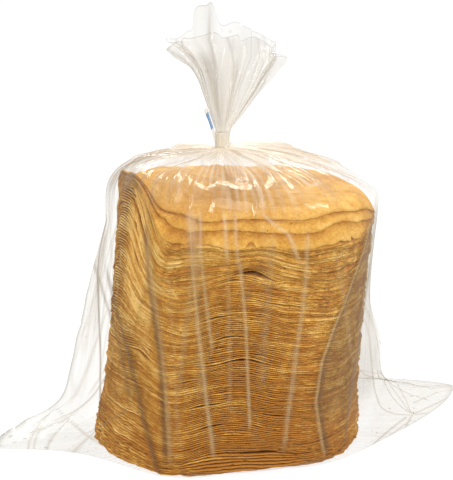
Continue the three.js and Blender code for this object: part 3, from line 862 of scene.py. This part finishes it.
def wrap_tape(settings, material):
    """The closure tape: a band round the neck, fluted by the film under it, and a flat tail of
    its two ends stuck together, which leans out as it rises along the left of the mouth."""
    rng = np.random.default_rng(3)
    angle = np.arange(120) * 3.0
    inner, outer = NECK["radius"] + 0.35, NECK["radius"] + 0.75
    low, high = TAPE_FOOT / METRE, TAPE_FOOT / METRE + 8.8
    steps = [(high - low) * k / 9 for k in range(1, 10)]
    profile = np.array([(inner, low), (outer, low), *[(outer, low + step) for step in steps],
                        (inner, high), *[(inner, high - step) for step in steps]])
    flute = 0.13 * drift(angle, 0, rng, (5, 14), 1.0)
    r = profile[:, :1] + flute
    z = profile[:, 1:] + 0.15 * drift(angle, 0, rng, (1, 5), 1.0)
    band = round_axis(NECK_CENTRE, angle, r, z)
    quads, triangles = ring_faces(len(profile), len(angle), (False, False))

    rise = np.linspace(0, 1, 30)
    out = -inner - 0.2 - 6 * rise ** 1.35
    up = low + 2 + 20.5 * rise
    half = settings.tail_width / METRE / 2
    across = np.linspace(-1, 1, 9)
    ring = np.concatenate([np.stack([across, np.full(9, -0.16)], -1),
                           np.stack([across[::-1], np.full(9, 0.16)], -1)])
    twist = math.radians(10)
    x = (out[:, None] + ring[:, 1] + half * math.sin(twist) * ring[:, 0] * rise[:, None] ** 0.5
         + 0.25 * np.sin(7 * rise)[:, None] * ring[:, 0])
    y = half * math.cos(twist) * ring[:, 0]
    tail = turned_to_view(x, y, up[:, None])
    tail_quads, tail_ends = ring_faces(len(rise), len(ring))
    ends = np.stack([tail[0].mean(0), tail[-1].mean(0)])
    shift = band.shape[0] * band.shape[1]
    points = np.concatenate([band.reshape(-1, 3), tail.reshape(-1, 3), ends])
    ink_tail = smooth((rise - 0.42) / 0.03) * smooth((0.9 - rise) / 0.03)
    ink = np.concatenate([np.zeros(shift), np.repeat(ink_tail, len(ring)), [0, 0]])
    piece = new_piece("closure_tape", points, np.concatenate([quads, (tail_quads + shift)[:, ::-1]]),
                      tail_ends[:, ::-1] + shift, material, {"ink": ink})
    settle(piece, "tape", "neck_tape")


# Settings

def colour_property(name, text, description):
    return bpy.props.FloatVectorProperty(name=name, description=description, subtype="COLOR",
                                         size=3, min=0, max=1, default=srgb(text))


def length_property(name, metres, description):
    return bpy.props.FloatProperty(name=name, description=description, default=metres,
                                   unit="LENGTH", subtype="DISTANCE")


def angle_property(name, degrees, description):
    return bpy.props.FloatProperty(name=name, description=description, default=math.radians(degrees),
                                   unit="ROTATION", subtype="ANGLE")


class StackSettings(bpy.types.PropertyGroup):
    count: bpy.props.IntProperty(name="Tortillas", description="How many tortillas lie in the stack",
                                 default=126, min=20, max=160)
    radius: length_property("Radius", 0.0768, "Radius of a tortilla")
    stack_height: length_property("Height", 0.1525, "Height of the stack at its front")
    crumb_colour: colour_property("Crumb", "#cc9740", "Colour of the baked dough")
    floury_colour: colour_property("Floury", "#eec878", "Colour of its palest patches")
    toasted_colour: colour_property("Toasted", "#ab6f24", "Colour of its warmest patches")
    # painted shade: the colour painted deep between two rims stands in for the shade there
    gap_shade_colour: colour_property("Gaps", "#8e5318", "Colour of the dough deep between two rims")


class FilmSettings(bpy.types.PropertyGroup):
    columns: bpy.props.IntProperty(name="Columns", description="Steps round the bag", default=1280,
                                   min=200, max=1300)
    milk_colour: colour_property("Milk", "#ece6da", "Colour of densely pleated film")
    dough_glow_haze_colour: colour_property("Haze", "#e6cf9f", "Colour of the haze on film that lies on the stack")
    # painted light: the warm haze colour stands for the dough's light scattered through the film
    gloss_colour: colour_property("Gloss", "#eee9df", "Colour of the film's reflections")
    # partly painted shade: the grey let through where the fold value is high
    fold_and_shade_colour: colour_property("Folds", "#9a9082", "Colour of the light that comes through folded film")
    gloss_roughness: bpy.props.FloatProperty(name="Roughness", description="Roughness of the film",
                                             default=0.09, min=0, max=1, subtype="FACTOR")


class TapeSettings(bpy.types.PropertyGroup):
    tail_width: length_property("Tail width", 0.009, "Width of the tape's tail")
    tape_colour: colour_property("Tape", "#e9e2d2", "Colour of the plain tape")
    field_colour: colour_property("Field", "#2f7fc0", "Colour of the field on its tail")


class StudioSettings(bpy.types.PropertyGroup):
    floor_colour: colour_property("Floor", "#626260", "Colour of the light table's sheet")
    camera_height: angle_property("Elevation", 14, "Camera's angle over the horizon")
    camera_turn: angle_property("Turn", VIEW_ANGLE, "Camera's angle round the bag")
    camera_distance: length_property("Distance", 0.823, "Camera's distance from its target")
    lens: bpy.props.FloatProperty(name="Lens", description="Focal length in millimetres", default=109.0,
                                  min=10, max=300, unit="CAMERA")


# Operators

FLOOR_REACH, FLOOR_LEVEL = 12, -0.0002
FLOOR_CORNERS = [(-1, -1), (1, -1), (1, 1), (-1, 1)]
BOX_AIM = (0, 0, 0.1)
CAMERA_AIM = (-0.01671, -0.01136, 0.124)


def out_from_centre(elevation, turn):
    """The direction from the bag to a point at an elevation and a turn round it, in radians."""
    return Vector((math.sin(turn) * math.cos(elevation), -math.cos(turn) * math.cos(elevation),
                   math.sin(elevation)))


def hang(name, data, place, back):
    """A lamp or camera at a place, with its back turned to a direction."""
    thing = bpy.data.objects.new(name, data)
    thing.location = place
    thing.rotation_euler = back.to_track_quat("Z", "Y").to_euler()
    bpy.context.scene.collection.objects.link(thing)
    return thing


def hang_sun(name, strength, spread, elevation, turn):
    light = bpy.data.lights.new(name, "SUN")
    light.energy, light.angle = strength, math.radians(spread)
    hang(name, light, (0, 0, 0), out_from_centre(math.radians(elevation), math.radians(turn)))


def hang_softbox(name, power, size, place):
    light = bpy.data.lights.new(name, "AREA")
    light.energy, light.shape, light.size, light.size_y = power, "RECTANGLE", *size
    hang(name, light, place, Vector(place) - Vector(BOX_AIM))


class TORTILLAS_OT_stack(bpy.types.Operator):
    """Bake the tortillas and stack them"""
    bl_idname = "tortillas.stack"
    bl_label = "Stack of tortillas"

    def execute(self, context):
        settings = context.scene.tortilla_bag_stack
        rng = np.random.default_rng(8)
        angle = np.arange(STACK_COLUMNS) * 360 / STACK_COLUMNS
        data = stack_rims(settings, angle, rng)
        crumb = tortilla_crumb(settings)
        plain = settings.count - TOP_SHEETS
        hidden_rows = np.array([0.80, 0.945, 0.982])
        for k, name in enumerate(("lowest", "lower", "middle", "upper", "highest")):
            part = slice(k * plain // 5, (k + 1) * plain // 5)
            bake_stack(settings, f"tortillas_{name}", angle, data[:, part], hidden_rows, False, crumb)
        face_rows = np.array([0.06, 0.15, 0.26, 0.38, 0.5, 0.6, 0.7, 0.78, 0.84, 0.88, 0.91, 0.935, 0.955,
                              0.97, 0.982, 0.992])
        bake_stack(settings, "tortillas_top_three", angle, data[:, plain:], face_rows, True, crumb)
        return {"FINISHED"}


class TORTILLAS_OT_film(bpy.types.Operator):
    """Blow the clear bag round the stack and gather its mouth"""
    bl_idname = "tortillas.film"
    bl_label = "Clear bag"

    def execute(self, context):
        settings = context.scene.tortilla_bag_film
        film = clear_film(settings)
        blow_bag(settings, film)
        ruffle_mouth(film)
        return {"FINISHED"}


class TORTILLAS_OT_tape(bpy.types.Operator):
    """Wrap the closure tape round the neck"""
    bl_idname = "tortillas.tape"
    bl_label = "Closure tape"

    def execute(self, context):
        settings = context.scene.tortilla_bag_tape
        wrap_tape(settings, tape_film(settings))
        return {"FINISHED"}


class TORTILLAS_OT_studio(bpy.types.Operator):
    """Lay the floor and set the lights and the camera"""
    bl_idname = "tortillas.studio"
    bl_label = "Floor, lights and camera"

    def execute(self, context):
        settings = context.scene.tortilla_bag_studio
        scene = context.scene
        floor_mesh = bpy.data.meshes.new("floor")
        corners = [(x * FLOOR_REACH, y * FLOOR_REACH, FLOOR_LEVEL) for x, y in FLOOR_CORNERS]
        floor_mesh.from_pydata(corners, [], [(0, 1, 2, 3)])
        floor = bpy.data.objects.new("floor", floor_mesh)
        scene.collection.objects.link(floor)
        material, add = new_material("light_table")
        colour = rgba(settings.floor_colour)
        shader = add("BsdfPrincipled", Base_Color=colour, Roughness=0.9, Emission_Color=(1, 1, 1, 1),
                     Emission_Strength=0.94)
        shader.inputs["Specular IOR Level"].default_value = 0.0
        add("OutputMaterial", Surface=shader)
        floor_mesh.materials.append(material)
        floor.visible_glossy = False

        world = bpy.data.worlds.new("studio")
        scene.world = world
        add = empty_tree(world)
        # a white wall behind the bag and a dark room behind the camera
        turn = settings.camera_turn
        behind = add("VectorMath", {"operation": "DOT_PRODUCT"}, _0=add("TexCoord").outputs["Generated"],
                     _1=(-math.sin(turn), math.cos(turn), 0))
        shade = add("MapRange", {"interpolation_type": "SMOOTHSTEP"}, Value=behind.outputs["Value"],
                    From_Min=-0.7, From_Max=0.8, To_Min=0.14, To_Max=0.98)
        wall = add("Background", Color=shade, Strength=0.9)
        add("OutputWorld", Surface=wall)

        hang_sun("key_sun", 1.42, 40, 50, -25)
        hang_sun("fill_sun", 0.6, 60, 25, 10)
        hang_softbox("top_box", 10.5, (0.9, 0.22), (0.1, 0.45, 1.2))
        hang_softbox("front_box", 7.5, (0.14, 0.9), (-0.95, -0.9, 0.75))
        hang_softbox("side_box", 6.5, (0.12, 0.9), (0.95, -0.8, 0.8))

        back = out_from_centre(settings.camera_height, settings.camera_turn)
        camera = bpy.data.cameras.new("camera")
        camera.lens, camera.sensor_width, camera.sensor_fit = settings.lens, 36, "HORIZONTAL"
        place = Vector(CAMERA_AIM) + settings.camera_distance * back
        scene.camera = hang("camera", camera, place, back)
        scene.view_settings.view_transform = "Standard"
        scene.cycles.transparent_max_bounces = 32
        return {"FINISHED"}


class TORTILLAS_PT_panel(bpy.types.Panel):
    bl_idname = "TORTILLAS_PT_panel"
    bl_label = "Bag of corn tortillas"
    bl_space_type = "VIEW_3D"
    bl_region_type = "UI"
    bl_category = "Tortillas"

    def draw(self, context):
        for step in GROUPS:
            box = self.layout.box()
            settings = getattr(context.scene, "tortilla_bag_" + step)
            for name in settings.bl_rna.properties.keys():
                if name not in ("rna_type", "name"):
                    box.prop(settings, name)
            box.operator("tortillas." + step)


# Each step's operator and settings share its name
GROUPS = {"stack": StackSettings, "film": FilmSettings, "tape": TapeSettings, "studio": StudioSettings}
CLASSES = [*GROUPS.values(), TORTILLAS_OT_stack, TORTILLAS_OT_film, TORTILLAS_OT_tape, TORTILLAS_OT_studio,
           TORTILLAS_PT_panel]


def register():
    for each in CLASSES:
        bpy.utils.register_class(each)
    for step, group in GROUPS.items():
        setattr(bpy.types.Scene, "tortilla_bag_" + step, bpy.props.PointerProperty(type=group))


def unregister():
    for step in GROUPS:
        delattr(bpy.types.Scene, "tortilla_bag_" + step)
    for each in reversed(CLASSES):
        bpy.utils.unregister_class(each)


def main():
    register()
    bpy.ops.tortillas.stack()
    bpy.ops.tortillas.film()
    bpy.ops.tortillas.tape()
    bpy.ops.tortillas.studio()


if __name__ == "__main__":
    main()
